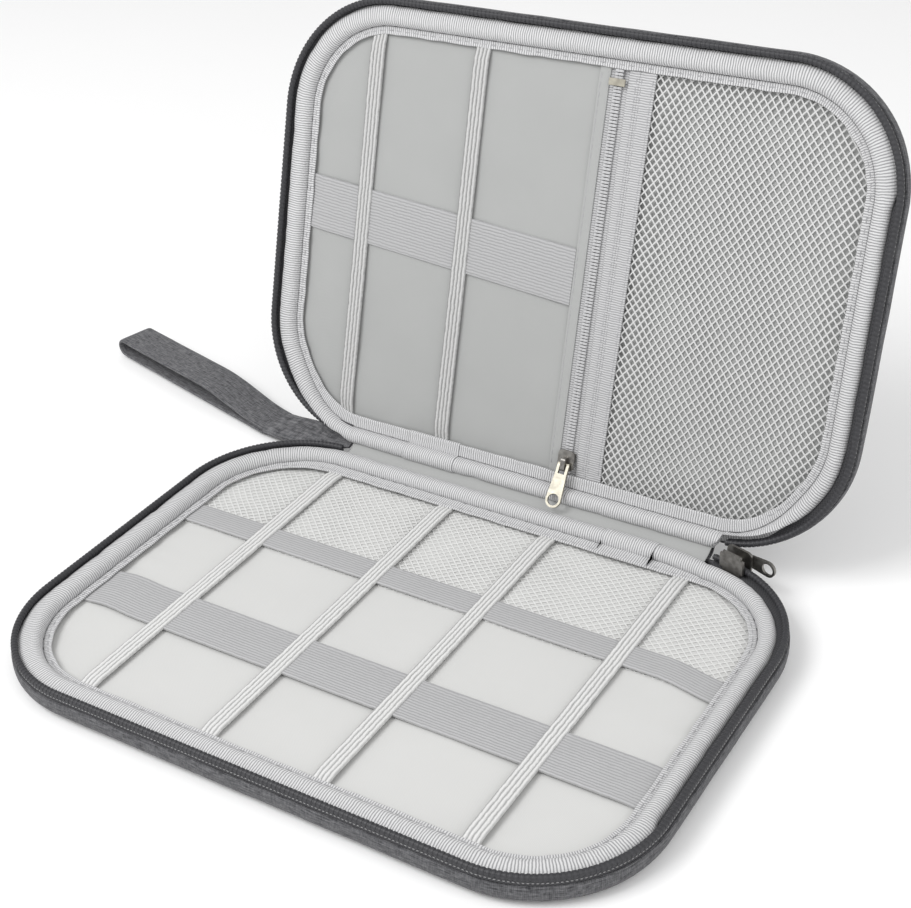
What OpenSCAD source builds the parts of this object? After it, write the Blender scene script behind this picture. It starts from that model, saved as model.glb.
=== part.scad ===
// Zip-round organizer pouch. Two shallow padded trays share a fabric spine along
// one long edge. Lid angle and slider places are drawn as the pouch stands open.

/* [Body] */
// Outside width, along the spine
body_w = 240; // [180:1:300]
// Outside depth of each tray, from spine to free edge
body_d = 168; // [130:1:220]
// Thickness of the closed pouch
closed_t = 25; // [24:0.5:36]
// Corner radius of the outline
corner_r = 44; // [30:1:60]
// Radius between floor and wall
edge_r = 5; // [4:0.5:6]
// Lid opening, 0 closed and 180 flat
lid_open = 107; // [0:1:180]
// Gap between the trays' backs and the hinge line
hinge_gap = 0.5; // [0.4:0.1:2]

/* [Walls] */
// Outer fabric thickness
cover_t = 1; // [0.6:0.1:1.6]
// Height of the fabric wall
wall_h = 8; // [6:0.5:10]
// Foam board thickness
foam_t = 3; // [2:0.1:3.4]
// Lining thickness
lining_t = 0.8; // [0.4:0.1:1]

/* [Zipper] */
// Tape thickness
tape_t = 0.6; // [0.4:0.1:0.8]
// Height of the tape above the wall's foot
tape_top = 10.5; // [9:0.1:11]
// Coil width across the wall
coil_w = 2.4; // [1.6:0.1:2.6]
// Coil height
coil_h = 2.3; // [1.6:0.1:2.6]
// Distance of the coil from the outer face
coil_in = 0.5; // [0.4:0.1:1]
// Half the slot left between the two closed coils
coil_slot = 0.8; // [0.7:0.1:1.2]
// Where the slider is parked, degrees round the corner from the spine
park_phi = 15; // [12:1:40]
// Half the angle the slider covers
slider_half = 7; // [5:0.5:9]
// Slider plate thickness
plate_t = 0.9; // [0.7:0.1:1.2]
// Half height of the slider plates
plate_half = 4; // [3.6:0.1:4.1]

/* [Binding] */
// Width of the padded roll
roll_w = 6; // [4:0.5:8]
// Distance of the roll from the outer face
roll_in = 4.5; // [4.4:0.1:6]
// Top of the roll
roll_top = 10.5; // [9:0.1:11]
// Width of the stitched flange
flange_w = 3; // [2:0.5:5]
// Thickness of the stitched flange
flange_t = 0.75; // [0.5:0.05:1.2]

/* [Base fittings] */
// Width of the four lengthwise elastic straps
strap_w = 6; // [5:0.1:10]
// Strap thickness
strap_t = 0.9; // [0.6:0.1:1.2]
// Width of the wide elastic
wide_w = 18.7; // [12:0.1:30]
// Middle of the wide elastic, from the tray's middle
wide_y = -26.3; // [-50:0.1:-10]
// Width of the elastic on the mesh pocket's mouth
mouth_w = 10.6; // [8:0.1:16]
// Front edge of the mesh pocket
mouth_y = 20; // [0:0.5:40]
// Mesh thickness
mesh_t = 0.4; // [0.3:0.1:0.6]

/* [Lid fittings] */
// Middle of the pocket zipper
pocket_x = 15; // [5:0.5:30]
// Pocket panel thickness
panel_t = 0.5; // [0.4:0.1:0.8]
// Height of the panel above the lid's outer face
panel_z = 6.2; // [6.1:0.1:6.4]
// Width of the lid's cross elastic
lid_band_w = 20.5; // [12:0.5:30]
// Middle of the cross elastic, from the spine
lid_band_v = 81.8; // [60:0.1:110]
// Fall of the cross elastic toward the zipper, degrees
lid_band_tilt = 4; // [0:0.5:8]
// Half the slot between the pocket coils
pocket_slot = 0.8; // [0.7:0.1:1]
// Where the pocket slider rests, from the hinge line
pocket_v = 13.9; // [13.9:0.1:20]

/* [Pulls] */
// Length of the pocket pull from its pin
pocket_pull_len = 16.5; // [12:0.5:16.5]
// Angle of the pocket pull off the lid
pocket_pull_tilt = 22; // [14:1:24]
// Length of the main pull from its pin
main_pull_len = 14; // [14:0.5:20]

/* [Wrist strap] */
// Webbing width
web_w = 16; // [12:0.5:18]
// Webbing thickness
web_t = 1.6; // [1:0.1:2]
// Length of the open loop
loop_len = 104; // [60:1:140]
// Height of the opening in the loop
loop_gap = 5; // [4.5:0.1:10]
// Lean of the strap back from the spine line, degrees
web_yaw = 15; // [0:1:25]

/* [Hidden] */
$fn = 72;
half_t = closed_t / 2;
hinge_y = body_d / 2 + hinge_gap;
arc_x = body_w / 2 - corner_r;
arc_y = body_d / 2 - corner_r;
slack = 0.02;
lining_z = cover_t + foam_t;
fit_z = lining_z + lining_t + 0.05;
coil_top = half_t - coil_slot;
tape_out = corner_r - cover_t - slack;
roll_out = corner_r - roll_in;
roll_r = roll_w / 2;
inner_in = roll_in + roll_w + flange_w + 0.05;
spine_half = arc_x - 0.5;
base_flange_z = fit_z + 1.3;
lid_flange_z = panel_z + panel_t + 0.1;
// corner angles left clear of coil beside the spine
clear_left = 3;
clear_base = 3;
clear_lid = park_phi + slider_half + 4;
// slider plate radii about the corner's centre
outer_r = corner_r + 0.1;
inner_r = corner_r - coil_in - coil_w - 0.3;
crown_r = outer_r + plate_t;
pin_r = 0.55;
strap_xs = [-74, -24.2, 18.8, 71];
lid_strap_xs = [-82.7, -38.9];
grey = [0.38, 0.38, 0.4];
black = [0.16, 0.16, 0.18];
pale = [0.82, 0.82, 0.81];
ribbon = [0.72, 0.72, 0.72];
band = [0.62, 0.62, 0.63];
white = [0.9, 0.9, 0.89];
metal = [0.75, 0.74, 0.7];

// ---- shared shapes ----

module outline(in) {
  w = body_w - 2 * in;
  d = body_d - 2 * in;
  r = corner_r - in;
  square([w - 2 * r, d], center = true);
  square([w, d - 2 * r], center = true);
  for (sx = [-1, 1], sy = [-1, 1])
    translate([sx * (w / 2 - r), sy * (d / 2 - r)]) circle(r);
}

// a profile carried round one corner; its x is the distance from the corner's centre
module rim_corner(k)
  translate([(k == 0 || k == 3 ? 1 : -1) * arc_x, (k < 2 ? 1 : -1) * arc_y, 0])
    rotate([0, 0, 90 * k]) rotate_extrude(angle = 90) children();

// the same profile along one straight side: 0 right, 1 spine, 2 left, 3 free
module rim_side(k) {
  long = 2 * (k % 2 == 0 ? arc_y : arc_x);
  rotate([0, 0, 90 * k])
    translate([k % 2 == 0 ? arc_x : arc_y, long / 2, 0])
      rotate([90, 0, 0]) linear_extrude(long) children();
}

module rim_loop()
  for (k = [0:3]) {
    rim_corner(k) children();
    rim_side(k) children();
  }

// the loop without its spine side, cut short of both spine corners by the given angles
module zip_run(left, right) difference() {
  rim_loop() children();
  translate([-arc_x - corner_r * sin(left), arc_y, -1])
    cube([2 * arc_x + corner_r * (sin(left) + sin(right)), corner_r + 1, closed_t]);
}

// stands a tray drawn face up, spine at the back, in the lid's place
module lid_place()
  translate([0, hinge_y, half_t]) rotate([180 - lid_open, 0, 0])
    translate([0, hinge_y, -half_t]) children();

module lid_tray() lid_place() mirror([0, 1, 0]) children();

module wall_profile() {
  translate([corner_r - edge_r, edge_r]) intersection() {
    difference() {
      circle(edge_r);
      circle(edge_r - cover_t);
    }
    translate([0, -edge_r]) square(edge_r);
  }
  translate([corner_r - cover_t, edge_r]) square([cover_t, wall_h - edge_r]);
}

module cover_shell() {
  rim_loop() wall_profile();
  linear_extrude(cover_t) outline(edge_r);
}

module foam_board()
  translate([0, 0, cover_t + slack]) linear_extrude(foam_t - 2 * slack) outline(edge_r + 0.2);

module lining_sheet()
  translate([0, 0, lining_z]) linear_extrude(lining_t) outline(cover_t + 0.3);

module tape_run(left, right)
  zip_run(left, right)
    translate([tape_out - tape_t, wall_h - 1.5]) square([tape_t, tape_top - wall_h + 1.5]);

// coil: a flat oval astride the tape's edge
module coil_profile() {
  r = coil_h / 2;
  difference() {
    translate([corner_r - coil_in - coil_w + r, coil_top - r]) {
      circle(r);
      translate([0, -r]) square([coil_w - 2 * r, coil_h]);
      translate([coil_w - 2 * r, 0]) circle(r);
    }
    translate([tape_out - tape_t - slack, 0]) square([tape_t + 2 * slack, tape_top + slack]);
  }
}

module binding_loop(flange_z)
  rim_loop() {
    translate([roll_out - roll_r, roll_top - roll_r]) intersection() {
      circle(roll_r);
      translate([-roll_r, -0.01]) square(2 * roll_r);
    }
    translate([roll_out - roll_w, fit_z]) square([roll_w, roll_top - roll_r - fit_z]);
    translate([roll_out - roll_w - flange_w, flange_z])
      square([flange_w + roll_r, flange_t]);
  }

// a fabric piece cut from the tray's inner outline between two x and two y
module fitting(x0, x1, y0, y1, z, t, in = inner_in)
  translate([0, 0, z]) linear_extrude(t) intersection() {
    outline(in);
    translate([x0, y0]) square([x1 - x0, y1 - y0]);
  }

// ---- base ----

module base_cover() color(grey) cover_shell();
module base_foam_board() color(white) foam_board();
module base_lining() color(pale) lining_sheet();
module base_zipper_tape() color(black) tape_run(clear_left, clear_base);
module base_zipper_coil() color(black) zip_run(clear_left, clear_base) coil_profile();
module base_binding() color(ribbon) binding_loop(base_flange_z);

module base_wide_elastic() color(band)
  fitting(-body_w, body_w, wide_y - wide_w / 2, wide_y + wide_w / 2, fit_z, 1);

module base_mesh_pocket() color(white)
  fitting(-body_w, body_w, mouth_y, body_d, fit_z, mesh_t, roll_in + roll_w + 0.05);

module base_mesh_elastic() color(band)
  fitting(-body_w, body_w, mouth_y, mouth_y + mouth_w, fit_z + mesh_t + 0.05, 0.75);

module base_strap(i) color(white)
  fitting(strap_xs[i] - strap_w / 2, strap_xs[i] + strap_w / 2, -body_d, body_d,
    base_flange_z + 0.05, strap_t);

// ---- spine ----

// an arc of fabric in the plane across the spine, about (y, z), from angle a to angle b
module spine_arc(y, z, r, t, a, b)
  translate([-spine_half, y, z]) rotate([90, 0, 90]) linear_extrude(2 * spine_half)
    intersection() {
      difference() {
        circle(r + t / 2);
        circle(r - t / 2);
      }
      polygon([[0, 0], 3 * r * [cos(a), sin(a)],
        3 * r * [cos((2 * a + b) / 3), sin((2 * a + b) / 3)],
        3 * r * [cos((a + 2 * b) / 3), sin((a + 2 * b) / 3)],
        3 * r * [cos(b), sin(b)]]);
    }

// what both trays' walls fill, across the spine
module wall_room()
  translate([-body_w, hinge_y, half_t]) rotate([90, 0, 90]) linear_extrude(2 * body_w) {
    translate([-body_d - 0.46, -body_d - half_t + wall_h + 0.03]) square(body_d);
    rotate(-lid_open) translate([-body_d - 0.46, half_t - wall_h - 0.03]) square(body_d);
  }

module spine_cover() color(grey) difference() {
  spine_arc(85.6, 10.9, 3.8, 0.9, 236, 374);
  wall_room();
}
module spine_lining() color(pale) spine_arc(79.4, 20.6, 12.2, 0.6, 274, 333);

// ---- lid ----

module lid_cover() color(grey) lid_tray() cover_shell();
module lid_foam_board() color(white) lid_tray() foam_board();
module lid_lining() color(pale) lid_tray() lining_sheet();
module lid_zipper_tape() color(black) lid_tray() tape_run(clear_left, clear_lid);
module lid_zipper_coil() color(black) lid_tray() zip_run(clear_left, clear_lid) coil_profile();
module lid_binding() color(ribbon) lid_tray() binding_loop(lid_flange_z);

// lid pieces are placed by x and by their distance from the tray's middle, away from the spine
module lid_fitting(x0, x1, z, t, in = inner_in, y0 = -body_d, y1 = body_d)
  lid_place() fitting(x0, x1, y0, y1, z, t, in);

panel_edge = roll_in + roll_w + 0.05;
tape_reach = 6.2;

module lid_pocket_panel() color(pale)
  lid_fitting(-body_w, pocket_x - tape_reach - slack, panel_z, panel_t, panel_edge);

module lid_mesh_panel() color(white)
  lid_fitting(pocket_x + tape_reach + slack, body_w, panel_z, mesh_t, panel_edge);

module pocket_tape(side) color(pale)
  lid_fitting(side > 0 ? pocket_x + pocket_slot : pocket_x - tape_reach,
    side > 0 ? pocket_x + tape_reach : pocket_x - pocket_slot,
    panel_z, panel_t, panel_edge);

module pocket_coil(side) color(ribbon)
  lid_fitting(side > 0 ? pocket_x + pocket_slot : pocket_x - pocket_slot - 1.4,
    side > 0 ? pocket_x + pocket_slot + 1.4 : pocket_x - pocket_slot,
    panel_z + panel_t, 1.1, inner_in);

module pocket_flap() color(white)
  lid_fitting(pocket_x - 7.5, pocket_x - 3.6, panel_z + panel_t + 0.05, 0.5);

module pocket_ribbon(from, to) color(ribbon)
  lid_fitting(pocket_x + from, pocket_x + to, panel_z + panel_t + 0.05, 0.7);

module lid_wide_elastic() color(band)
  lid_place() translate([0, 0, panel_z + panel_t + 0.1]) linear_extrude(0.8)
    intersection() {
      outline(inner_in);
      translate([-body_w, -body_d]) square([body_w + pocket_x - 7.6, 2 * body_d]);
      translate([0, lid_band_v - hinge_y]) rotate(-lid_band_tilt)
        square([2 * body_w, lid_band_w], center = true);
    }

module lid_strap(i) color(white)
  lid_fitting(lid_strap_xs[i] - strap_w / 2, lid_strap_xs[i] + strap_w / 2,
    panel_z + panel_t + 0.95, strap_t - 0.1);

// a metal clamp across both coils beyond the slider's travel
stop_v = 156 - hinge_y;
module pocket_stop() color(metal)
  lid_place() translate([pocket_x, stop_v - 5.5, panel_z + panel_t + 1.12])
    linear_extrude(0.6) square([6, 2.4], center = true);

// ---- pocket slider: slides along the lid away from the spine ----

module plate_outline(w, l, r) {
  square([w - 2 * r, l], center = true);
  square([w, l - 2 * r], center = true);
  for (sx = [-1, 1], sy = [-1, 1])
    translate([sx * (w / 2 - r), sy * (l / 2 - r)]) circle(r);
}

// arch that traps a pull's pin; its span runs along y, base at z 0
module crown(w, span, h, wall) {
  difference() {
    translate([-w / 2, 0, 0]) rotate([90, 0, 90]) linear_extrude(w) union() {
      translate([-span / 2, 0]) square([span, h - 1.2]);
      translate([-span / 2 + 1.2, 0]) square([span - 2.4, h]);
      for (s = [-1, 1]) translate([s * (span / 2 - 1.2), h - 1.2]) circle(1.2);
    }
    translate([-w, -span / 2 + wall, -1]) cube([2 * w, span - 2 * wall, h - wall + 1]);
  }
}

slider_w = 6.4;
// plate ends from the pin, toward the spine and away from it
nose = -2.6;
tail = 5;
under_z = lining_z + lining_t + 0.3;
over_z = panel_z + panel_t + 1.1 + 0.3;
over_t = 0.8;
pocket_pin_z = over_z + over_t + 0.3 + pin_r;

module slider_plate(t, r)
  translate([0, (nose + tail) / 2, 0]) linear_extrude(t)
    plate_outline(slider_w, tail - nose, r);

module pocket_slider() color(metal)
  lid_place() translate([pocket_x, pocket_v - hinge_y, 0]) {
    translate([0, 0, under_z]) slider_plate(0.7, 1.4);
    translate([0, 0, over_z]) slider_plate(over_t, 1.6);
    translate([-0.5, 1.6, under_z]) cube([1, 2.4, over_z - under_z + 0.4]);
    for (s = [-1, 1]) translate([s * (slider_w / 2 - 0.25) - 0.25, 0.8, over_z - 0.7])
      cube([0.5, 3.4, 1]);
    translate([0, 0, over_z + over_t - 0.05]) crown(1.7, 5.2, 2.5, 0.75);
  }

// a pull drawn with its pin along x through the origin, hanging toward -y, flat in xy
module pull_tab(len) {
  rotate([0, 90, 0]) cylinder(r = pin_r, h = 4.4, center = true);
  difference() {
    translate([0, 0, -0.5]) linear_extrude(1) union() {
      for (s = [-1, 1]) translate([s * 1.8 - 0.5, -4.2]) square([1, 4.2]);
      polygon([[-2.3, -3.8], [2.3, -3.8], [3, 3 - len], [-3, 3 - len]]);
      translate([0, 3 - len]) circle(3);
    }
    translate([0, 3 - len, -2]) cylinder(r = 2.2, h = 4);
  }
}

module pocket_pull() color(metal)
  lid_place() translate([pocket_x, pocket_v - hinge_y, pocket_pin_z])
    rotate([-pocket_pull_tilt, 0, 0]) pull_tab(pocket_pull_len);

// ---- main slider: follows the zipper round the right spine corner ----

// turns +x into the outward direction at the parked slider
module slider_place()
  translate([arc_x, arc_y, half_t]) rotate([0, 0, 90 - park_phi]) children();

module curved_plate(r, h, half)
  translate([0, 0, -h / 2]) rotate([0, 0, -half])
    rotate_extrude(angle = 2 * half) translate([r, 0]) square([plate_t, h]);

module main_slider() color(metal) slider_place() {
  translate([outer_r, 0, 0]) rotate([90, 0, 90]) linear_extrude(plate_t)
    plate_outline(10.4, 2 * plate_half, 1.8);
  curved_plate(inner_r - plate_t, 2 * plate_half, slider_half - 1.6);
  curved_plate(inner_r - plate_t, 2 * plate_half - 2.4, slider_half);
  translate([inner_r - 0.3, -1.3, -0.5]) cube([outer_r - inner_r + 0.6, 2.6, 1]);
  translate([crown_r - 0.2, 0, 0]) rotate([90, 0, 90]) rotate([0, 0, 90])
    crown(1.7, 5.2, 2.7, 0.75);
}

main_pin_r = crown_r + 0.33 + pin_r;

module main_pull() color(metal) slider_place()
  translate([main_pin_r, 0, 0]) rotate([90, 0, 90]) rotate([0, 0, -90])
    pull_tab(main_pull_len);

// ---- wrist strap: double webbing, sewn at the spine's left end ----

root_x = -spine_half - 1.5;
join_x = -121;
join_y = 96.2;

// a thin slice across the webbing, leaning up toward the back by tilt
module web_slice(x, y, z, tilt, w, t)
  translate([x, y, z]) rotate([0, 0, -web_yaw]) rotate([tilt, 0, 0])
    cube([0.4, w, t], center = true);

module root_slice() web_slice(root_x, 86.3, 10.6, 30, 4, 1);
module corner_slice() web_slice(-88, 87.8, 8, 28, 8, 2.2);
module table_slice() web_slice(-103, 92, 5.4, 12, 15, 3);
module join_slice() web_slice(join_x + 0.3, join_y, 2.1, 0, web_w, 2 * web_t);

module wrist_strap_tail() color(grey) {
  hull() {
    root_slice();
    corner_slice();
  }
  hull() {
    corner_slice();
    table_slice();
  }
  hull() {
    table_slice();
    join_slice();
  }
}

module wrist_strap_loop() color(grey)
  translate([join_x, join_y, 0.5]) rotate([0, 0, -web_yaw]) mirror([1, 0, 0])
    translate([0, web_w / 2, 0]) rotate([90, 0, 0]) linear_extrude(web_w) {
      rise = loop_gap;
      bend = loop_gap / 2 + web_t;
      flat = loop_len - bend;
      ramp = 45;
      square([flat, web_t]);
      polygon([[0, web_t - 0.05], [5, web_t - 0.05], [ramp, web_t + rise],
        [flat, web_t + rise], [flat, 2 * web_t + rise], [ramp - 2, 2 * web_t + rise],
        [0, 2 * web_t]]);
      translate([flat, bend]) difference() {
        circle(bend);
        circle(bend - web_t);
        translate([-2 * bend, -2 * bend]) square([2 * bend, 4 * bend]);
      }
    }

base_cover();
base_foam_board();
base_lining();
base_zipper_tape();
base_zipper_coil();
base_binding();
base_wide_elastic();
base_mesh_pocket();
base_mesh_elastic();
base_strap(0);  // base_strap_1
base_strap(1);  // base_strap_2
base_strap(2);  // base_strap_3
base_strap(3);  // base_strap_4
spine_cover();
spine_lining();
lid_cover();
lid_foam_board();
lid_lining();
lid_zipper_tape();
lid_zipper_coil();
lid_binding();
lid_pocket_panel();
lid_mesh_panel();
lid_wide_elastic();
lid_strap(0);  // lid_strap_left
lid_strap(1);  // lid_strap_right
pocket_flap();
pocket_tape(-1);  // pocket_tape_left
pocket_tape(1);  // pocket_tape_right
pocket_coil(-1);  // pocket_coil_left
pocket_coil(1);  // pocket_coil_right
pocket_ribbon(3.6, 7.4);  // pocket_ribbon_inner
pocket_ribbon(7.5, 13.6);  // pocket_ribbon_outer
pocket_stop();
pocket_slider();
pocket_pull();
main_slider();
main_pull();
wrist_strap_tail();
wrist_strap_loop();
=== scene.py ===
import bpy, math
import numpy as np
from mathutils import Matrix, Vector


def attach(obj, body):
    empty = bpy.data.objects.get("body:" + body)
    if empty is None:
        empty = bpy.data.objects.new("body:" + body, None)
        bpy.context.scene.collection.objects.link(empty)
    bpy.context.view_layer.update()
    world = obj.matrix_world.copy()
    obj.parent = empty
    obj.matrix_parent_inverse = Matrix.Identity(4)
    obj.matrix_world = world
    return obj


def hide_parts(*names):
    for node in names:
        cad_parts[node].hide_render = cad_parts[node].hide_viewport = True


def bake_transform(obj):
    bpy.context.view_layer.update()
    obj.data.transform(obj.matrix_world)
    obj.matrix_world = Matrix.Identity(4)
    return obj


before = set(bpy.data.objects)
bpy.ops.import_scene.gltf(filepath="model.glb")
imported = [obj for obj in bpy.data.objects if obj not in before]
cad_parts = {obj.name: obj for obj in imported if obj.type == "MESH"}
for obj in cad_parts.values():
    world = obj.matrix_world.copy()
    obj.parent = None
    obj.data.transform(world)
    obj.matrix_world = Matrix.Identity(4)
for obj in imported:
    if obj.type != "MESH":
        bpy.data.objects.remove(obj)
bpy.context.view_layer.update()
print("frame loaded,", len(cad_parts), "nodes")

# the pouch's own sizes in mm, as the CAD has them
pouch = {"corner": 44.0, "arcX": 76.0, "arcY": 40.0, "hingeY": 84.5, "hingeZ": 12.5, "lidAngle": 107.0,
         "reach": 4.4}
arcX, arcY, hingeY, hingeZ = pouch["arcX"], pouch["arcY"], pouch["hingeY"], pouch["hingeZ"]
cornerSigns = [(-1, 1), (-1, -1), (1, -1), (1, 1)]


# small helpers

def smooth(low, high, x):
    t = np.clip((x - low) / (high - low), 0, 1)
    return t * t * (3 - 2 * t)


def drift(a, b, seed, size=9.0):  # slow uneven wave between -1 and 1
    total = 0
    for i, (f, g) in enumerate([(1.0, 0.35), (-0.43, 0.9), (0.71, -0.77), (1.63, 0.52), (0.31, 1.9)]):
        wave = np.sin((a * f + b * g) * 2 * math.pi / size + seed * (1.7 + i * 2.3) + i)
        total = total + wave / (1 + 0.35 * i)
    return total / 3.2


def insetAt(x, y):  # how far a point of a tray lies inside its outline
    return pouch["corner"] - np.hypot(np.maximum(abs(x) - arcX, 0), np.maximum(abs(y) - arcY, 0))


def spineReach(x):  # how much nearer the hinge the lid's fittings reach, fading round the corners
    turn = np.arcsin(np.clip((abs(x) - arcX) / 36, 0, 1))
    return pouch["reach"] * (1 - smooth(0, 1.05, turn)) * np.cos(turn)


def lidInset(x, y):  # the lid's own inset, with its spine at -y
    return insetAt(x, y + spineReach(x) * smooth(20, 60, -y))


def halfDepth(x, inset):
    r = pouch["corner"] - inset
    over = np.clip(abs(x) - arcX, 0, r)
    return arcY + np.sqrt(np.maximum(r * r - over * over, 0))


def asBase(points):
    return points


def asLid(points):  # a tray drawn face up with its spine at -y, stood in the lid's place
    a = math.radians(180 - pouch["lidAngle"])
    y, z = points[..., 1] + hingeY, points[..., 2] - hingeZ
    return np.stack([points[..., 0], hingeY + math.cos(a) * y - math.sin(a) * z,
                     hingeZ + math.sin(a) * y + math.cos(a) * z], -1)


def asLidShell(points):  # the same, from a tray drawn with its spine at +y
    return asLid(points * np.array([1, -1, 1]))


def deselectAll():
    if bpy.context.mode != "OBJECT":
        bpy.ops.object.mode_set(mode="OBJECT")
    bpy.ops.object.select_all(action="DESELECT")


def makeMesh(name, points, faces, uvs, angle=50):
    mesh = bpy.data.meshes.new(name)
    mesh.from_pydata((np.asarray(points) * 0.001).tolist(), [], faces)
    layer = mesh.uv_layers.new(name="cloth")
    flat = [c for face in uvs for c in face]
    layer.data.foreach_set("uv", np.array(flat, np.float32).ravel())
    obj = bpy.data.objects.new(name, mesh)
    bpy.context.scene.collection.objects.link(obj)
    deselectAll()
    obj.select_set(True)
    bpy.context.view_layer.objects.active = obj
    bpy.ops.object.shade_smooth_by_angle(angle=math.radians(angle))
    bpy.ops.object.mode_set(mode="EDIT")
    bpy.ops.mesh.select_all(action="SELECT")
    bpy.ops.mesh.normals_make_consistent(inside=False)
    bpy.ops.object.mode_set(mode="OBJECT")
    obj.select_set(False)
    return obj


def gridFaces(rows, cols, closeRows, closeCols, us, vs, first=0):
    faces, uvs = [], []
    for i in range(rows if closeRows else rows - 1):
        for j in range(cols if closeCols else cols - 1):
            i2, j2 = (i + 1) % rows, (j + 1) % cols
            faces.append((first + i * cols + j, first + i2 * cols + j, first + i2 * cols + j2,
                          first + i * cols + j2))
            uvs.append([(us[i], vs[j]), (us[i + 1], vs[j]), (us[i + 1], vs[j + 1]), (us[i], vs[j + 1])])
    return faces, uvs


def lengths(line, closed):
    p = np.vstack([line, line[:1]]) if closed else line
    return np.concatenate([[0], np.cumsum(np.linalg.norm(np.diff(p, axis=0), axis=1))])


def tube(name, points, closeRows=True, closeCols=True, place=asBase, angle=50):
    # a grid of points, rows along the piece and columns round it
    rows, cols = points.shape[:2]
    us, vs = lengths(points.mean(1), closeRows), lengths(points[0], closeCols)
    faces, uvs = gridFaces(rows, cols, closeRows, closeCols, us, vs)
    if closeCols and not closeRows:
        for i, order in ((0, range(cols)), (rows - 1, range(cols - 1, -1, -1))):
            faces.append([i * cols + j for j in order])
            uvs.append([(us[i], vs[j]) for j in order])
    return makeMesh(name, place(points).reshape(-1, 3), faces, uvs, angle)


def slab(name, top, thick, place=asBase, down=(0, 0, -1), us=None, vs=None, angle=50):
    # a sheet of cloth with two faces and an edge all round, from the grid of its upper face
    rows, cols = top.shape[:2]
    us = lengths(top[:, cols // 2], False) if us is None else us
    vs = lengths(top[rows // 2], False) if vs is None else vs
    low = top + np.array(down) * thick
    faces, uvs = gridFaces(rows, cols, False, False, us, vs)
    under, underUv = gridFaces(rows, cols, False, False, us, vs, rows * cols)
    faces += [f[::-1] for f in under]
    uvs += [u[::-1] for u in underUv]
    ring = [(i, 0) for i in range(rows)] + [(rows - 1, j) for j in range(1, cols)]
    ring += [(i, cols - 1) for i in range(rows - 2, -1, -1)] + [(0, j) for j in range(cols - 2, 0, -1)]
    for (i, j), (k, l) in zip(ring, ring[1:] + ring[:1]):
        a, b = i * cols + j, k * cols + l
        faces.append((b, a, a + rows * cols, b + rows * cols))
        uvs.append([(us[k], vs[l]), (us[i], vs[j]), (us[i], vs[j]), (us[k], vs[l])])
    return makeMesh(name, place(np.vstack([top.reshape(-1, 3), low.reshape(-1, 3)])), faces, uvs, angle)


def rimPath(step, start=90.0, stop=450.0, closed=True):
    rows = []
    for k, (sx, sy) in enumerate(cornerSigns):
        low = 90.0 + 90 * k
        a0, a1 = max(low, start), min(low + 90, stop)
        if a1 > a0:
            n = max(2, round(math.radians(a1 - a0) * 40 / step))
            rows += [(sx * arcX, sy * arcY, math.radians(a0 + (a1 - a0) * i / n)) for i in range(n + 1)]
        if k < 3 or closed:
            nx, ny = cornerSigns[(k + 1) % 4]
            dx, dy = (nx - sx) * arcX, (ny - sy) * arcY
            n = round(math.hypot(dx, dy) / step)
            rows += [(sx * arcX + dx * i / n, sy * arcY + dy * i / n,
                      math.radians(low + 90)) for i in range(1, n)]
    return np.array(rows)


def sweepRim(path, xs, zs):
    # xs are distances from the corner's centre; both may be rows by columns
    xs = np.broadcast_to(xs, (len(path), np.shape(xs)[-1]))
    zs = np.broadcast_to(zs, (len(path), np.shape(zs)[-1]))
    c, s = np.cos(path[:, 2])[:, None], np.sin(path[:, 2])[:, None]
    return np.stack([path[:, 0:1] + xs * c, path[:, 1:2] + xs * s, zs], -1)


def pathAlong(path, x):
    return lengths(sweepRim(path, np.array([x]), np.array([0.0]))[:, 0], False)


def evenPath(path, x, pitch):
    # places along the rim at an even pitch, at that distance from the corner's centre
    wholeTurn = path[0, 2] < 1.6 and path[-1, 2] > 7.8
    closed = np.vstack([path, path[:1] + [0, 0, 2 * math.pi]]) if wholeTurn else path
    s = pathAlong(closed, x)
    at = np.arange(pitch / 2, s[-1], pitch)
    return np.stack([np.interp(at, s, closed[:, i]) for i in range(3)], -1)


def xStations(x0, x1, step, r):
    low, high = max(x0, -arcX), min(x1, arcX)
    xs = list(np.linspace(low, high, max(2, round((high - low) / step) + 1))) if high > low else []
    for sign in (-1, 1):
        edge = min(max(sign * (x0 if sign < 0 else x1) - arcX, 0), r)
        if edge > 0:
            n = max(3, round(edge / step))
            xs += [sign * (arcX + r * math.sin(math.asin(min(edge / r, 1)) * i / n)) for i in range(1, n + 1)]
    return np.array(sorted(set(np.round(xs, 5))))


def fitted(name, x0, x1, y0, y1, inset, height, thick, step=(2, 2), place=asBase, edge=0.25, xs=None):
    # cloth cut to the tray's inner outline between two x and two y; height gives the upper face
    r = pouch["corner"] - inset
    xs = xStations(x0, x1, step[0], r) if xs is None else xs
    h = halfDepth(xs, inset)
    low = np.maximum(y0(xs) if callable(y0) else y0, -h - (spineReach(xs) if place is asLid else 0))
    high = np.minimum(y1(xs) if callable(y1) else y1, h)
    n = max(4, round(float((high - low).max()) / step[1]))
    t = np.linspace(0, 1, n + 1)[:, None]
    x, y = np.broadcast_to(xs, (n + 1, len(xs))).copy(), low + (high - low) * t
    z = height(x, y)
    z[0] -= edge * thick
    z[-1] -= edge * thick
    z[1:-1, 0] -= edge * thick
    z[1:-1, -1] -= edge * thick
    top = np.stack([x, y, z], -1)
    flatSize = (float(xs[-1] - xs[0]), float((high - low).max()))
    area = float(np.trapz(high - low, xs))
    obj = slab(name, top, thick, place, vs=np.array(xs) - xs[0], us=np.linspace(0, flatSize[1], n + 1))
    return obj, flatSize, area


def finishSheet(obj, body, material, nodes=()):
    obj.data.materials.append(material)
    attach(obj, body)
    if nodes:
        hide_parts(*nodes)
    return obj


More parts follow.
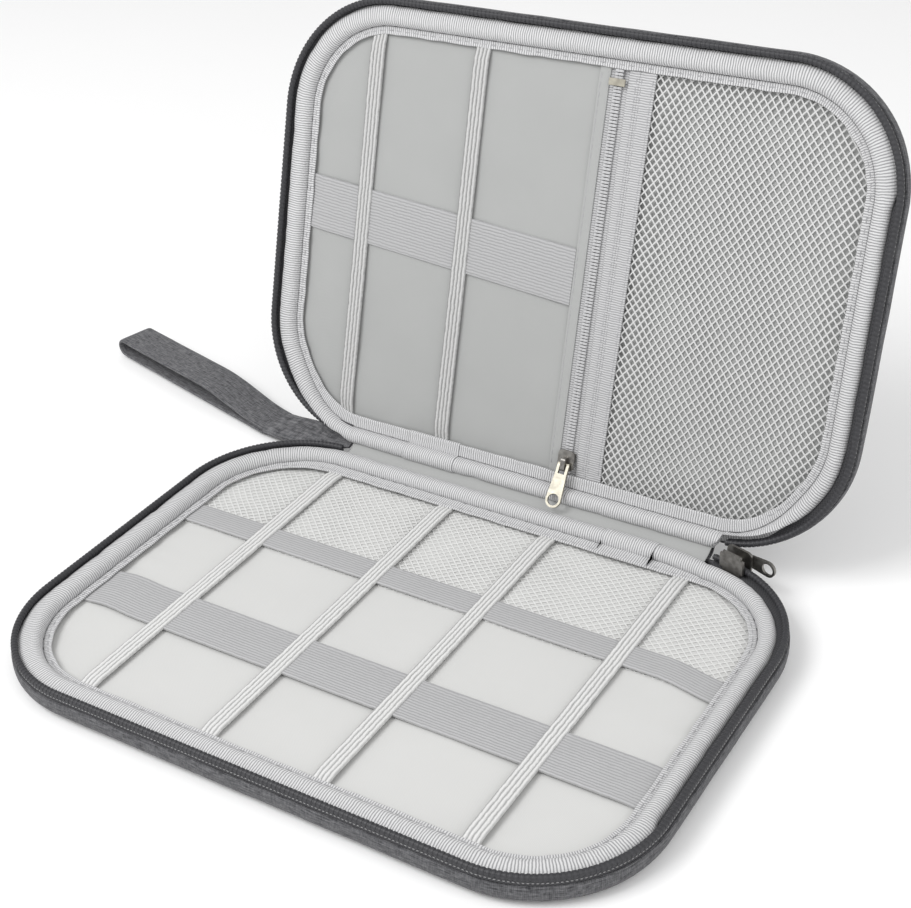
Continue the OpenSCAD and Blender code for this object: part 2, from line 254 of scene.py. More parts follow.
def stamp(name, shape, path, x, z, place, lean=0.0):
    # copies one small shape along the rim; shape is (points with x along the rim, y outward, z up; faces)
    pts, faces = shape
    n, allFaces = len(pts), []
    out = np.zeros((len(path), n, 3))
    for i, (cx, cy, a) in enumerate(path):
        c, s = math.cos(a), math.sin(a)
        along, outward = pts[:, 0] + lean * pts[:, 2], pts[:, 1] + x
        out[i] = np.stack([cx + outward * c - along * s, cy + outward * s + along * c, pts[:, 2] + z], -1)
        allFaces += [[i * n + k for k in f] for f in faces]
    return makeMesh(name, place(out.reshape(-1, 3)), allFaces, [[(0, 0)] * len(f) for f in allFaces], 60)


def takeShape(obj):
    # a modelled object's points in mm and its faces, and the object is removed
    pts = np.array([v.co for v in obj.data.vertices]) * 1000
    faces = [list(p.vertices) for p in obj.data.polygons]
    bpy.data.objects.remove(obj, do_unlink=True)
    return pts, faces


# materials

def newGroup(name, inputs, outputs):
    tree = bpy.data.node_groups.new(name, "ShaderNodeTree")
    for label, kind, value in inputs:
        socket = tree.interface.new_socket(label, in_out="INPUT", socket_type=kind)
        if value is not None:
            socket.default_value = value
    for label, kind in outputs:
        tree.interface.new_socket(label, in_out="OUTPUT", socket_type=kind)
    return tree, tree.nodes.new("NodeGroupInput"), tree.nodes.new("NodeGroupOutput")


def mathNode(tree, operation, a, b=None):
    node = tree.nodes.new("ShaderNodeMath")
    node.operation = operation
    for i, v in enumerate((a, b)):
        if v is None:
            continue
        if isinstance(v, (int, float)):
            node.inputs[i].default_value = v
        else:
            tree.links.new(v, node.inputs[i])
    return node.outputs[0]


def noiseNode(tree, vector, scale, detail=3.0, rough=0.5):
    node = tree.nodes.new("ShaderNodeTexNoise")
    tree.links.new(vector, node.inputs["Vector"])
    if isinstance(scale, (int, float)):
        node.inputs["Scale"].default_value = scale
    else:
        tree.links.new(scale, node.inputs["Scale"])
    node.inputs["Detail"].default_value = detail
    node.inputs["Roughness"].default_value = rough
    return node.outputs["Fac"]


def stretchNode(tree, vector, scale):
    node = tree.nodes.new("ShaderNodeMapping")
    tree.links.new(vector, node.inputs["Vector"])
    node.inputs["Scale"].default_value = scale
    return node.outputs["Vector"]


def mixColour(tree, factor, a, b):
    node = tree.nodes.new("ShaderNodeMix")
    node.data_type = "RGBA"
    for socket, v in ((node.inputs["Factor"], factor), (node.inputs["A"], a), (node.inputs["B"], b)):
        if isinstance(v, (int, float, tuple)):
            socket.default_value = v
        else:
            tree.links.new(v, socket)
    return node.outputs["Result"]


def ramp(tree, value, low, high):
    node = tree.nodes.new("ShaderNodeMapRange")
    tree.links.new(value, node.inputs["Value"])
    node.inputs["From Min"].default_value = low
    node.inputs["From Max"].default_value = high
    return node.outputs["Result"]


def buildWeave():  # over-and-under threads, from a vector in mm
    tree, gin, gout = newGroup("threadWeave", [("Vector", "NodeSocketVector", None),
                                               ("Pitch", "NodeSocketFloat", 0.5)],
                               [("Height", "NodeSocketFloat"), ("Tone", "NodeSocketFloat")])
    split = tree.nodes.new("ShaderNodeSeparateXYZ")
    tree.links.new(gin.outputs["Vector"], split.inputs[0])
    waves = []
    for axis in (0, 1):
        turns = mathNode(tree, "DIVIDE", split.outputs[axis], gin.outputs["Pitch"])
        waves.append(mathNode(tree, "SINE", mathNode(tree, "MULTIPLY", turns, math.pi)))
    over = mathNode(tree, "MULTIPLY", waves[0], waves[1])
    bumps = mathNode(tree, "ABSOLUTE", over)
    uneven = noiseNode(tree, gin.outputs["Vector"], 1.4, 2.0)
    height = mathNode(tree, "MULTIPLY", mathNode(tree, "POWER", bumps, 0.5),
                      mathNode(tree, "ADD", uneven, 0.4))
    tree.links.new(height, gout.inputs["Height"])
    tree.links.new(ramp(tree, over, -1, 1), gout.inputs["Tone"])
    return tree


def buildRibs():  # parallel cords across or along a ribbon, with the yarn's unevenness; its Tone follows the cords' height and is used to paint shade into the grooves between them
    tree, gin, gout = newGroup("cordRibs", [("Vector", "NodeSocketVector", None),
                                            ("Pitch", "NodeSocketFloat", 0.8)],
                               [("Height", "NodeSocketFloat"), ("Tone", "NodeSocketFloat")])
    split = tree.nodes.new("ShaderNodeSeparateXYZ")
    tree.links.new(gin.outputs["Vector"], split.inputs[0])
    wander = mathNode(tree, "MULTIPLY", noiseNode(tree, gin.outputs["Vector"], 0.35, 2.0), 0.7)
    turns = mathNode(tree, "DIVIDE", mathNode(tree, "ADD", split.outputs[0], wander), gin.outputs["Pitch"])
    wave = mathNode(tree, "ABSOLUTE", mathNode(tree, "SINE", mathNode(tree, "MULTIPLY", turns, math.pi)))
    cross = mathNode(tree, "ABSOLUTE", mathNode(tree, "SINE",
                                                mathNode(tree, "MULTIPLY", split.outputs[1], 5.2)))
    height = mathNode(tree, "ADD", mathNode(tree, "POWER", wave, 0.6),
                      mathNode(tree, "MULTIPLY", cross, 0.22))
    tree.links.new(height, gout.inputs["Height"])
    tree.links.new(wave, gout.inputs["Tone"])
    return tree


def buildHeather():  # mixed light and dark yarns running along the cloth
    tree, gin, gout = newGroup("heatherYarn", [("Vector", "NodeSocketVector", None)],
                               [("Fleck", "NodeSocketFloat"), ("Cloud", "NodeSocketFloat")])
    fine = noiseNode(tree, stretchNode(tree, gin.outputs["Vector"], (0.22, 1.7, 1)), 1.0, 4.0, 0.7)
    cross = noiseNode(tree, stretchNode(tree, gin.outputs["Vector"], (1.5, 0.35, 1)), 1.0, 3.0, 0.65)
    fleck = mathNode(tree, "ADD", mathNode(tree, "MULTIPLY", fine, 0.65),
                     mathNode(tree, "MULTIPLY", cross, 0.35))
    tree.links.new(ramp(tree, fleck, 0.36, 0.64), gout.inputs["Fleck"])
    tree.links.new(noiseNode(tree, gin.outputs["Vector"], 0.05, 2.0), gout.inputs["Cloud"])
    return tree


def buildSoil():  # faint rubbing and dust over a surface
    tree, gin, gout = newGroup("handling", [("Vector", "NodeSocketVector", None)],
                               [("Mask", "NodeSocketFloat")])
    broad = noiseNode(tree, gin.outputs["Vector"], 0.045, 3.0, 0.6)
    tree.links.new(ramp(tree, broad, 0.3, 0.75), gout.inputs["Mask"])
    return tree


weaveGroup, ribsGroup, heatherGroup, soilGroup = buildWeave(), buildRibs(), buildHeather(), buildSoil()


def useGroup(tree, group, vector, **values):
    node = tree.nodes.new("ShaderNodeGroup")
    node.node_tree = group
    tree.links.new(vector, node.inputs["Vector"])
    for label, value in values.items():
        node.inputs[label].default_value = value
    return node


def startMaterial(name, rough, sheen=0.0, metal=0.0, specular=0.4):
    material = bpy.data.materials.new(name)
    material.use_nodes = True
    tree = material.node_tree
    shader = tree.nodes["Principled BSDF"]
    shader.inputs["Roughness"].default_value = rough
    shader.inputs["Metallic"].default_value = metal
    shader.inputs["Specular IOR Level"].default_value = specular
    shader.inputs["Sheen Weight"].default_value = sheen
    shader.inputs["Sheen Roughness"].default_value = 0.5
    return material, tree, shader


def clothVector(tree, turned=False):
    node = tree.nodes.new("ShaderNodeUVMap")
    node.uv_map = "cloth"
    if not turned:
        return node.outputs["UV"]
    spin = tree.nodes.new("ShaderNodeMapping")
    spin.inputs["Rotation"].default_value = (0, 0, math.radians(turned))
    tree.links.new(node.outputs["UV"], spin.inputs["Vector"])
    return spin.outputs["Vector"]


def objectVector(tree, scale=1000.0):
    node = tree.nodes.new("ShaderNodeTexCoord")
    return stretchNode(tree, node.outputs["Object"], (scale, scale, scale))


def addBump(tree, shader, height, strength, distance):
    bump = tree.nodes.new("ShaderNodeBump")
    bump.inputs["Strength"].default_value = strength
    bump.inputs["Distance"].default_value = distance * 0.001
    tree.links.new(height, bump.inputs["Height"])
    tree.links.new(bump.outputs["Normal"], shader.inputs["Normal"])


def clothMaterial(name, light, dark, kind, pitch, bump, rough=0.85, sheen=0.25, turned=False, soil=0.08,
                  contrast=0.6):
    # kind is weave or ribs; light and dark are the yarn's colours for a weave; with ribs the tone follows the
    # cords' height, so the light colour is the yarn's and the dark colour is painted shade in the grooves
    # between cords
    material, tree, shader = startMaterial(name, rough, sheen)
    vector = clothVector(tree, turned)
    group = useGroup(tree, weaveGroup if kind == "weave" else ribsGroup, vector, Pitch=pitch)
    fuzz = noiseNode(tree, vector, 2.2, 4.0, 0.7)
    tone = mathNode(tree, "ADD", mathNode(tree, "MULTIPLY", group.outputs["Tone"], contrast),
                    mathNode(tree, "MULTIPLY", fuzz, 1 - contrast))
    colour = mixColour(tree, tone, (*dark, 1), (*light, 1))
    mask = mathNode(tree, "MULTIPLY", useGroup(tree, soilGroup, vector).outputs["Mask"], soil)
    colour = mixColour(tree, mask, colour, tuple(c * 0.55 for c in light) + (1,))
    tree.links.new(colour, shader.inputs["Base Color"])
    height = mathNode(tree, "ADD", group.outputs["Height"], mathNode(tree, "MULTIPLY", fuzz, 0.5))
    addBump(tree, shader, height, 0.6, bump)
    return material


def heatherMaterial(name, light, dark):
    material, tree, shader = startMaterial(name, 0.9, 0.1, specular=0.2)
    vector = clothVector(tree)
    heather = useGroup(tree, heatherGroup, vector)
    weave = useGroup(tree, weaveGroup, vector, Pitch=0.55)
    colour = mixColour(tree, heather.outputs["Fleck"], (*dark, 1), (*light, 1))
    shade = mathNode(tree, "MULTIPLY", mathNode(tree, "SUBTRACT", 1.0, weave.outputs["Height"]), 0.55)
    colour = mixColour(tree, shade, colour, tuple(c * 0.45 for c in dark) + (1,))
    cloud = mathNode(tree, "MULTIPLY", heather.outputs["Cloud"], 0.3)
    colour = mixColour(tree, cloud, colour, tuple(c * 1.5 for c in dark) + (1,))
    tree.links.new(colour, shader.inputs["Base Color"])
    addBump(tree, shader, mathNode(tree, "ADD", weave.outputs["Height"], heather.outputs["Fleck"]), 0.7, 0.12)
    return material


def plasticMaterial(name, light, dark, rough):
    material, tree, shader = startMaterial(name, rough, specular=0.5)
    vector = objectVector(tree)
    fine = noiseNode(tree, vector, 1.5, 3.0)
    tree.links.new(mixColour(tree, fine, (*dark, 1), (*light, 1)), shader.inputs["Base Color"])
    tree.links.new(ramp(tree, fine, -1.2, 2.2), shader.inputs["Roughness"])
    addBump(tree, shader, fine, 0.25, 0.05)
    return material


def metalMaterial(name, light, dark, rough):
    material, tree, shader = startMaterial(name, rough, metal=1.0, specular=0.5)
    vector = objectVector(tree)
    brushed = noiseNode(tree, stretchNode(tree, vector, (0.6, 4.0, 4.0)), 1.0, 4.0, 0.6)
    worn = noiseNode(tree, vector, 0.5, 3.0)
    tree.links.new(mixColour(tree, ramp(tree, worn, 0.3, 0.7), (*dark, 1), (*light, 1)),
                   shader.inputs["Base Color"])
    scuffs = mathNode(tree, "ADD", mathNode(tree, "MULTIPLY", brushed, 0.22), rough - 0.08)
    tree.links.new(scuffs, shader.inputs["Roughness"])
    addBump(tree, shader, brushed, 0.2, 0.03)
    return material


melange = heatherMaterial("heatheredShell", (0.27, 0.27, 0.28), (0.024, 0.024, 0.028))
strapWeb = heatherMaterial("heatheredWebbing", (0.30, 0.30, 0.31), (0.035, 0.035, 0.04))
tapeCloth = clothMaterial("zipperTape", (0.10, 0.10, 0.106), (0.018, 0.018, 0.021), "weave", 0.6, 0.1,
                          sheen=0.05)
coilNylon = plasticMaterial("zipperNylon", (0.045, 0.045, 0.05), (0.014, 0.014, 0.017), 0.4)
# the ribbed cloths below take their dark colour in the grooves between cords: painted shade
grosgrain = clothMaterial("grosgrain", (0.74, 0.74, 0.745), (0.17, 0.17, 0.18), "ribs", 0.9, 0.34,
                          sheen=0.1, contrast=0.8)
ribbonSide = clothMaterial("sideRibbon", (0.60, 0.60, 0.605), (0.22, 0.22, 0.23), "ribs", 0.85, 0.26,
                           sheen=0.1, contrast=0.8)
warmLining = clothMaterial("trayLining", (0.63, 0.63, 0.62), (0.55, 0.55, 0.54), "weave", 0.32, 0.03,
                           sheen=0.1, soil=0.04)
coolLining = clothMaterial("lidLining", (0.41, 0.415, 0.41), (0.34, 0.345, 0.34), "weave", 0.32, 0.03,
                           sheen=0.1, soil=0.08)
backLining = clothMaterial("pocketLining", (0.42, 0.425, 0.42), (0.32, 0.325, 0.32), "weave", 0.32, 0.03,
                           sheen=0.05, soil=0.08)
bandCloth = clothMaterial("wideElastic", (0.50, 0.50, 0.505), (0.24, 0.24, 0.245), "ribs", 1.15, 0.16,
                          sheen=0.1, contrast=0.6)
braidCloth = clothMaterial("braidedElastic", (0.80, 0.80, 0.79), (0.20, 0.20, 0.20), "ribs", 1.5, 0.24,
                           sheen=0.1, turned=90, contrast=0.8)
lidBraid = clothMaterial("lidElastic", (0.64, 0.64, 0.635), (0.10, 0.10, 0.10), "ribs", 1.5, 0.24,
                         sheen=0.1, turned=90, contrast=0.8)
netThread = clothMaterial("lidNet", (0.66, 0.66, 0.655), (0.52, 0.52, 0.52), "weave", 0.3, 0.03, sheen=0.1)
fineThread = clothMaterial("trayNet", (0.74, 0.74, 0.73), (0.62, 0.62, 0.61), "weave", 0.3, 0.03, sheen=0.1)
paleNylon = plasticMaterial("paleNylon", (0.56, 0.56, 0.565), (0.40, 0.40, 0.41), 0.5)
stitchThread = plasticMaterial("paleThread", (0.42, 0.42, 0.42), (0.22, 0.22, 0.22), 0.7)
greyThread = plasticMaterial("greyThread", (0.46, 0.46, 0.47), (0.34, 0.34, 0.35), 0.7)
# painted shadow: dark dashes standing in for the shade inside the seam's needle holes
seamHoleShade = plasticMaterial("seamShadow", (0.16, 0.16, 0.165), (0.07, 0.07, 0.075), 0.8)
foamBoard = plasticMaterial("foamBoard", (0.72, 0.72, 0.70), (0.62, 0.62, 0.60), 0.8)
brightMetal = metalMaterial("platedZinc", (0.50, 0.475, 0.40), (0.34, 0.32, 0.27), 0.42)
darkMetal = metalMaterial("darkZinc", (0.36, 0.35, 0.33), (0.20, 0.19, 0.18), 0.38)
print("materials made")


# covers: the outer fabric shell of each tray

cover = {"edge": 5.0, "thick": 1.0, "ripple": 0.12}


def buildCover(name, place, body, node, seed):
    path = rimPath(2.6)
    along = pathAlong(path, 40)[:, None]
    a = np.linspace(math.radians(-90), 0, 8)[None, :]
    r, t = cover["edge"], cover["thick"]
    outer = [(39 + r * math.cos(v), r + r * math.sin(v)) for v in a[0]]
    outer += [(44, 6.4), (43.95, 7.4), (43.75, 7.95)]
    inner = [(43.25, 8.0), (43.02, 7.6), (43.0, 6.0)]
    inner += [(39 + (r - t) * math.cos(v), r + (r - t) * math.sin(v)) for v in a[0][::-1]]
    profile = np.array(outer + inner)[None, :, :]
    xs, zs = profile[..., 0], profile[..., 1]
    soft = cover["ripple"] * drift(along, zs * 2.0, seed, 31) * smooth(39.2, 43.5, xs)
    wall = tube(name + "_wall", sweepRim(path, xs + soft - 0.1, zs), place=place)
    level = lambda x, y: 0.95 + 0.0 * x
    floor = fitted(name + "_floor", -115.5, 115.5, -90, 90, 4.5, level, 0.9, (6, 6), place, edge=0.0)[0]
    floor.data.materials.append(melange)
    deselectAll()
    for obj in (floor, wall):
        obj.select_set(True)
    wall.data.materials.append(melange)
    bpy.context.view_layer.objects.active = wall
    bpy.ops.object.join()
    wall.name = wall.data.name = name
    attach(wall, body)
    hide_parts(node)
    return wall


buildCover("shellBase", asBase, "base", "base_cover", 1)
buildCover("shellLid", asLidShell, "lid", "lid_cover", 2)
print("covers made")


# zipper: tape, core and teeth

zipper = {"startLeft": 93.0, "endBase": 447.0, "endLid": 444.0, "pitch": 1.6, "tooth": 1.05}


def makeTooth():
    deselectAll()
    bpy.ops.mesh.primitive_cylinder_add(vertices=10, radius=0.001, depth=zipper["tooth"] * 0.001,
                                        rotation=(0, math.pi / 2, 0))
    tooth = bpy.context.active_object
    bpy.ops.object.transform_apply(location=True, rotation=True, scale=True)
    bpy.ops.object.mode_set(mode="EDIT")
    bpy.ops.mesh.select_all(action="SELECT")
    bpy.ops.transform.resize(value=(1, 1.2, 1.15))
    bpy.ops.mesh.bevel(offset=0.00016, segments=2, affect="EDGES")
    bpy.ops.object.mode_set(mode="OBJECT")
    return takeShape(tooth)


def buildZipper(side, place, stop, shapes):
    path = rimPath(2.2, zipper["startLeft"], stop, closed=False)
    xs = np.array([42.42, 42.42, 42.95, 42.98, 42.98, 42.85, 42.5, 42.42, 42.40, 41.0, 39.0, 39.0, 41.0,
                   42.2])
    zs = np.array([7.2, 6.5, 6.5, 7.0, 10.2, 10.48, 10.48, 10.2, 8.35, 8.25, 8.2, 7.95, 7.95, 7.9])
    tape = tube(side + "ZipTape", sweepRim(path, xs, zs), False, True, place)
    finishSheet(tape, side, tapeCloth, [side + "_zipper_tape"])
    a = np.linspace(0, 2 * math.pi, 13)[:-1]
    core = tube(side + "ZipCord", sweepRim(path, 42.3 + 1.0 * np.cos(a), 10.55 + 0.95 * np.sin(a)), False,
                True, place)
    teeth = stamp(side + "ZipTeeth", shapes["tooth"], evenPath(path, 42.3, zipper["pitch"]), 42.3, 10.55,
                  place, 0.18)
    # pale dots set on top of the coil between the teeth
    between = evenPath(path, 42.3, zipper["pitch"])
    between = (between[1:] + between[:-1]) / 2
    dots = stamp(side + "ZipPaleDots", shapes["dot"], between, 42.55, 11.0, place)
    seam = stamp(side + "ZipStitch", shapes["dash"], evenPath(path, 43.0, 1.35), 43.0, 9.0, place)
    for obj, material, slotName in ((core, coilNylon, "coil"), (teeth, coilNylon, "coil"),
                                    (dots, stitchThread, "coil"), (seam, stitchThread, "tape")):
        obj.data.materials.append(material)
        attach(obj, side)
    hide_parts(side + "_zipper_coil")


def makeDash(long, wide, high):
    deselectAll()
    bpy.ops.mesh.primitive_cylinder_add(vertices=8, radius=0.001, depth=0.002, rotation=(0, math.pi / 2, 0))
    dash = bpy.context.active_object
    bpy.ops.object.transform_apply(location=True, rotation=True, scale=True)
    bpy.ops.object.mode_set(mode="EDIT")
    bpy.ops.mesh.select_all(action="SELECT")
    bpy.ops.mesh.bevel(offset=0.0005, segments=2, affect="EDGES")
    bpy.ops.transform.resize(value=(long / 2, wide / 2, high / 2))
    bpy.ops.object.mode_set(mode="OBJECT")
    return takeShape(dash)


shapes = {"tooth": makeTooth(), "dash": makeDash(0.72, 0.22, 0.3), "hole": makeDash(1.3, 0.5, 0.4),
          "stitch": makeDash(2.3, 0.34, 0.3),
          "dot": makeDash(0.5, 0.62, 0.5)}
buildZipper("base", asBase, zipper["endBase"], shapes)
buildZipper("lid", asLidShell, zipper["endLid"], shapes)
print("zipper made")


# binding: padded grosgrain roll, its flange and seams

binding = {"rollX": 36.5, "rollZ": 7.5, "rollR": 2.98, "lump": 0.32, "bulge": 1.7, "broad": 3.3,
           "lidFlange": 1.8, "lidRise": 1.7,
           "trayFlange": 2.2, "lidSeam": 1.8, "baseSeam": 2.2,
           "stitchPitch": 3.6, "holePitch": 5.2}


def bindingProfile(flangeZ, swell=0.0):
    r, cx, cz = binding["rollR"] + swell, binding["rollX"], binding["rollZ"]
    top = flangeZ + 0.75
    pts = [(36.2, flangeZ + 0.05), (33.0, flangeZ + 0.03), (31.0, flangeZ + 0.03), (30.58, flangeZ + 0.12)]
    pts += [(30.5 - swell, flangeZ + 0.4), (30.62 - swell, top - 0.08 + swell), (31.1, top + swell)]
    pts += [(31.9, top - 0.12 + swell), (32.7, top + 0.02 + swell), (33.2, top - 0.05 + swell),
            (33.42, top - 0.5 + swell)]
    low = math.asin(max(-0.95, min(0.2, (top - 0.45 - cz) / r)))
    for a in np.linspace(math.pi - low, 0, 15):
        pts.append((cx + r * math.cos(a), cz + r * math.sin(a)))
    return np.array(pts + [(cx + r, 6.2), (cx + r - 0.1, 5.2), (cx + 1.5, 4.95), (36.4, 5.1)])


def spineShare(path, clear):
    # 1 beside the spine, fading round its corners, and over so many degrees at the right one
    left = 1 - smooth(math.radians(90), math.radians(150), path[:, 2])
    right = smooth(math.radians(450 - clear), math.radians(450), path[:, 2])
    return np.where(path[:, 2] < math.radians(270), left, right)


def shapeBinding(side, path, xs, zs):
    # the lid's binding sits nearer the hinge and stands higher there; both rolls bulge toward the zipper
    outer, seam = smooth(36.5, 39.5, xs), smooth(32.2, 33.3, xs)
    angle = path[:, 2]
    slider = smooth(math.radians(352), math.radians(362), angle)
    left = smooth(math.radians(100), math.radians(150),
                  angle) * (1 - smooth(math.radians(255), math.radians(300), angle))
    bulge = (binding["bulge"] * (1 - slider) + (0.9 * left if side == "base" else 0))[:,
        None] * outer * smooth(7.0, 9.0, zs)
    if side == "lid":
        share = spineShare(path, 60)[:, None]
        xs = xs + share * (pouch["reach"] + binding["lidFlange"] * seam) + bulge * (1 - share)
        zs = zs + binding["lidRise"] * share * smooth(6.6, 9.6, zs) * smooth(33.4, 35.5, xs)
        limit = 39.2 + 6.8 * smooth(math.radians(445.5), math.radians(450), angle) + 6.8 * (1 - slider)
        limit = np.where(angle < math.radians(270),
                         46 - 2.9 * smooth(math.radians(90), math.radians(98), angle), limit)
        xs = np.where(zs > 8.05, np.minimum(xs, limit[:, None]), xs)
    else:
        share = (spineShare(path, 0.1) * (1 - smooth(60, 84, path[:, 0] * (angle > 7))))[:, None]
        xs = xs + share * (binding["trayFlange"] * seam + (binding["broad"] - binding["trayFlange"])
                           * outer) + bulge * (1 - share)
    return np.where(zs < 8.05, np.minimum(xs, 42.9), xs), zs


def buildBinding(side, place, flangeZ, wrapAt, seed):
    path = rimPath(1.7)
    along = pathAlong(path, 36)[:, None]
    profile = bindingProfile(flangeZ)
    xs, zs = profile[None, :, 0], profile[None, :, 1]
    roll = smooth(33.2, 35.5, xs) * smooth(6.5, 8.5, zs)
    puff = binding["lump"] * drift(along, 0 * xs, seed, 17) + 0.13 * drift(along, xs, seed + 3, 5.3)
    tuck = 0.2 * smooth(30.4, 31.4, xs) * (1 - smooth(33.3, 34.2, xs)) * drift(along, 0 * xs, seed + 7, 6.1)
    scallop = 0.28 * (1 - smooth(30.4, 32.4, xs)) * drift(along, 0 * xs, seed + 5, 13)
    shapedX, shapedZ = shapeBinding(side, path, xs + 0 * along, zs + 0 * along)
    swept = sweepRim(path, shapedX + roll * puff * 0.6 + scallop, shapedZ - roll * np.abs(puff) + tuck)
    roll = tube(side + "Binding", swept, True, True, place)
    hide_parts(side + "_binding")
    start, stop = wrapAt
    s = np.linspace(start, stop, 14)
    ahead = math.radians(450 if side == "base" else 90)
    wrapPath = np.stack([s, np.full(14, arcY), np.full(14, ahead)], -1)
    wx, wz = bindingProfile(flangeZ, 0.3).T[:, None, :]
    wx, wz = shapeBinding(side, wrapPath, wx + 0 * s[:, None], wz + 0 * s[:, None])
    wrap = tube(side + "BindingLap", sweepRim(wrapPath, wx, wz), False, True, place)
    for piece in (roll, wrap):
        piece.data.materials.append(grosgrain)
        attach(piece, side)
    # FlangeStitch stamps grey stitches; SeamHole stamps dark dashes of painted shadow into the seam's needle
    # holes
    for label, shape, x, z, pitch in (("FlangeStitch", "stitch", 31.9, flangeZ + 0.7, binding["stitchPitch"]),
                                      ("SeamHole", "hole", 33.35, flangeZ + 0.42, binding["holePitch"])):
        where = evenPath(path, x, pitch)
        reach = pouch["reach"] if side == "lid" else 0
        reach += 0 if label == "FlangeStitch" else binding[side + "Seam"]
        shift = reach * spineShare(where, 60)
        moved = where + np.stack([shift * np.cos(where[:, 2]), shift * np.sin(where[:, 2]), 0 * shift], -1)
        seam = stamp(side + label, shapes[shape], moved, x, z, place)
        seam.data.materials.append(greyThread if label == "FlangeStitch" else seamHoleShade)
        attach(seam, side)


buildBinding("base", asBase, 6.15, (38.0, 58.0), 4)
buildBinding("lid", asLidShell, 6.8, (-52.0, -30.0), 9)
print("bindings made")


# base fittings

def gather(x, y, depth, size, reach, seed):  # small pleats that run out from the rim's seam
    depth = depth - 13
    turn = np.arctan2(y, x) * 90
    return size * np.exp(-np.maximum(depth, 0) / reach) * drift(turn, depth * 0.3, seed, 11)


def baseFloor(x, y):
    pleats = gather(x, y, insetAt(x, y), 0.32, 9, 5)
    return 4.68 + 0.3 * drift(x, y, 3, 61) + 0.1 * drift(y, x, 8, 27) + pleats


liningBase, flat, area = fitted("trayLiningSheet", -110, 110, -80, 80, 9.5, baseFloor, 0.7, (2.5, 2.5))
finishSheet(liningBase, "base", warmLining, ["base_lining"])


def bandGrooves(along, pitch, depth):
    return depth * np.abs(np.sin(along * math.pi / pitch))


wide = {"y": -26.3, "w": 18.7, "z": 5.72}


def wideMid(x):  # the band bows a little before its left end goes under the flange
    return wide["y"] + 0.8 * smooth(-84, -97, x) * (1 - smooth(97, 109, -x))


def wideHeight(x, y):
    ridge = bandGrooves(y - wideMid(x), 1.17, 0.16)
    free = smooth(10.6, 20, insetAt(x, y))
    edges = 0.3 * np.abs((y - wideMid(x)) / wide["w"] * 2) ** 6
    return wide["z"] + ridge + (0.45 + edges) * free + 0.1 * drift(x, 0 * y, 12, 60)


wideBand, flat, area = fitted("wideElasticBase", -110, 110, lambda x: wideMid(x) - wide["w"] / 2,
                              lambda x: wideMid(x) + wide["w"] / 2,
                              10.6, wideHeight, 0.75, (2.4, 0.39))
finishSheet(wideBand, "base", bandCloth, ["base_wide_elastic"])

mouth = {"y": 20.0, "w": 10.6}


def mouthLow(x):  # its right end sags away from the spine
    return mouth["y"] - 3.2 * smooth(86, 108, x)


def mouthHeight(x, y):
    return 5.9 + bandGrooves(y - mouthLow(x), 1.18, 0.14) + 0.25 * smooth(10.6, 20,
        insetAt(x, y)) + 0.08 * drift(x, 0 * y, 14, 55)


mouthBand, flat, area = fitted("meshElasticBase", -110, 110, mouthLow, lambda x: mouthLow(x) + mouth["w"],
                               10.6, mouthHeight, 0.62, (2.4, 0.39))
finishSheet(mouthBand, "base", bandCloth, ["base_mesh_elastic"])


def braidShape(half):
    xs = np.linspace(-half, half, 25)
    crown = 0.36 * np.abs(np.sin(xs / half * math.pi * 2)) ** 0.6 + 0.1 * (1 - (xs / half) ** 4)
    return xs, crown - 0.36


def buildBraid(name, x, half, z, thick, inset, body, node, place, material, dip, seed, height=None):
    offsets, crown = braidShape(half)

    def level(px, py):
        ends = (lidInset if place is asLid else insetAt)(px, py)
        knit = 0.07 * np.sin(py * 2 * math.pi / 1.9 + (px - x) * 2.2)
        sag = -0.12 * np.cos(py * math.pi / 71)
        lift = (height(px, py) if height else z)
        tuckedIn = dip * (1 - smooth(inset - 0.6, inset + 6.5, ends))
        return lift + crown[None, :] + knit + sag - tuckedIn + 0.06 * drift(py, 0 * px, seed, 45)

    strap, flat, area = fitted(name, x - half, x + half, -90, 90, inset, level, thick, (1, 0.62), place,
                               xs=x + offsets)
    finishSheet(strap, body, material, [node])
    return strap


for i, x in enumerate([-74, -24.2, 18.8, 71]):
    buildBraid(f"strapBase{i + 1}", x, 3.0, 7.12, 0.7, 11.2, "base", f"base_strap_{i + 1}", asBase,
               braidCloth, 1.05, 20 + i)
print("tray straps made")


# nets: open diamonds cut from a turned grid

